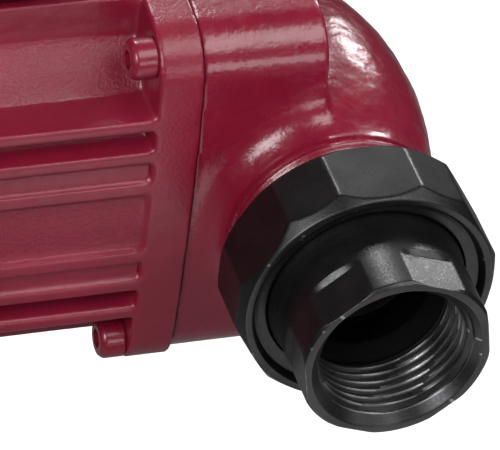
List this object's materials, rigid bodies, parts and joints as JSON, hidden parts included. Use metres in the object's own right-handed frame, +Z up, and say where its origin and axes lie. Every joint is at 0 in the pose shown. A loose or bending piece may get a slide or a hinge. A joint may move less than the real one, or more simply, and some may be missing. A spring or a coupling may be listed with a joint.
{
  "type": "in-line circulator pump",
  "caption": "Wet-rotor in-line heating circulator with a finned motor, a top terminal box and a threaded union at each port.",
  "frame": {"origin": "where the pipe axis crosses the motor axis, midway between the two ports", "axes": "+X along the motor axis away from the motor, +Y along the pipe axis towards the rear port, +Z up towards the terminal box"},
  "size_m": [0.141, 0.191, 0.1409],
  "materials": {
    "red_enamel_iron": "glossy burgundy enamel over sand-cast iron",
    "red_enamel_aluminium": "glossy burgundy enamel over die-cast aluminium",
    "red_enamel_steel": "glossy burgundy enamel over steel",
    "stainless": "drawn stainless steel",
    "seal_rubber": "moulded black rubber",
    "fibre_gasket": "pressed fibre gasket sheet",
    "bearing_carbon": "sintered carbon graphite",
    "ceramic": "ground alumina ceramic",
    "lamination_steel": "stacked steel laminations",
    "copper_winding": "enamelled copper winding",
    "impeller_plastic": "glass-filled moulded plastic",
    "plate_aluminium": "blank brushed aluminium plate",
    "vent_brass": "nickel-plated brass",
    "box_plastic": "spark-textured moulded plastic",
    "knob_plastic": "moulded plastic",
    "capacitor_case": "moulded plastic",
    "terminal_plastic": "moulded polyamide",
    "zinc_steel": "zinc-plated steel",
    "wire_insulation": "extruded insulation",
    "gland_plastic": "moulded polyamide",
    "black_union": "black-plated machined cast iron"
  },
  "bodies": {
    "pump": {"volute_casing": "red_enamel_iron", "wear_ring": "stainless", "casing_gasket": "seal_rubber", "motor_housing": "red_enamel_aluminium", "housing_screws": "red_enamel_steel", "rotor_can": "stainless", "can_seal": "seal_rubber", "bearing_plate": "stainless", "front_bearing": "bearing_carbon", "rear_bearing": "bearing_carbon", "rear_bearing_holder": "stainless", "stator_core": "lamination_steel", "stator_coils": "copper_winding", "rating_plate": "plate_aluminium", "terminal_box_base": "box_plastic", "terminal_box_gasket": "seal_rubber", "terminal_box_cover": "box_plastic", "cover_screws": "zinc_steel", "box_screws": "zinc_steel", "switch_body": "box_plastic", "capacitor": "capacitor_case", "terminal_block": "terminal_plastic", "terminal_screws": "zinc_steel", "earth_screw": "zinc_steel", "lead_wires": "wire_insulation", "cable_gland_body": "gland_plastic", "gland_locknut": "gland_plastic", "gland_bush": "seal_rubber", "gland_nut": "gland_plastic"},
    "rotor": {"shaft": "ceramic", "thrust_disc": "bearing_carbon", "rotor_core": "lamination_steel", "rotor_sleeve": "stainless", "impeller": "impeller_plastic", "impeller_shroud": "impeller_plastic", "impeller_lock_ring": "stainless"},
    "speed_knob": {"speed_knob": "knob_plastic"},
    "vent_seal": {"vent_plug_oring": "seal_rubber"},
    "vent_plug": {"vent_plug": "vent_brass"},
    "front_tail": {"front_tailpiece": "black_union", "front_union_gasket": "fibre_gasket"},
    "front_nut": {"front_union_nut": "black_union"},
    "rear_tail": {"rear_tailpiece": "black_union", "rear_union_gasket": "fibre_gasket"},
    "rear_nut": {"rear_union_nut": "black_union"}
  },
  "joints": [
    {"name": "rotor_spin", "type": "hinge", "parent": "pump", "child": "rotor", "pos_m": [0, 0, 0], "axis": [1, 0, 0], "continuous": true},
    {"name": "speed_select", "type": "hinge", "parent": "pump", "child": "speed_knob", "pos_m": [-0.075, 0, 0.087], "axis": [0, 0, 1], "range_deg": [-45, 45]},
    {"name": "vent_lift", "type": "slide", "parent": "pump", "child": "vent_seal", "axis": [-1, 0, 0], "range_m": [0, 0.006]},
    {"name": "vent_turn", "type": "hinge", "parent": "vent_seal", "child": "vent_plug", "pos_m": [0, 0, 0], "axis": [-1, 0, 0], "range_deg": [0, 2160]},
    {"name": "front_union_slide", "type": "slide", "parent": "pump", "child": "front_tail", "axis": [0, -1, 0], "range_m": [0, 0.00924]},
    {"name": "front_nut_turn", "type": "hinge", "parent": "front_tail", "child": "front_nut", "pos_m": [0, 0, 0], "axis": [0, -1, 0], "range_deg": [0, 1440]},
    {"name": "rear_union_slide", "type": "slide", "parent": "pump", "child": "rear_tail", "axis": [0, 1, 0], "range_m": [0, 0.00924]},
    {"name": "rear_nut_turn", "type": "hinge", "parent": "rear_tail", "child": "rear_nut", "pos_m": [0, 0, 0], "axis": [0, 1, 0], "range_deg": [0, 1440]}
  ],
  "couplings": [
    {"joint": "vent_lift", "follows": "vent_turn", "m_per_rad": 0.00015915},
    {"joint": "front_union_slide", "follows": "front_nut_turn", "m_per_rad": 0.0003675},
    {"joint": "rear_union_slide", "follows": "rear_nut_turn", "m_per_rad": 0.0003675}
  ]
}
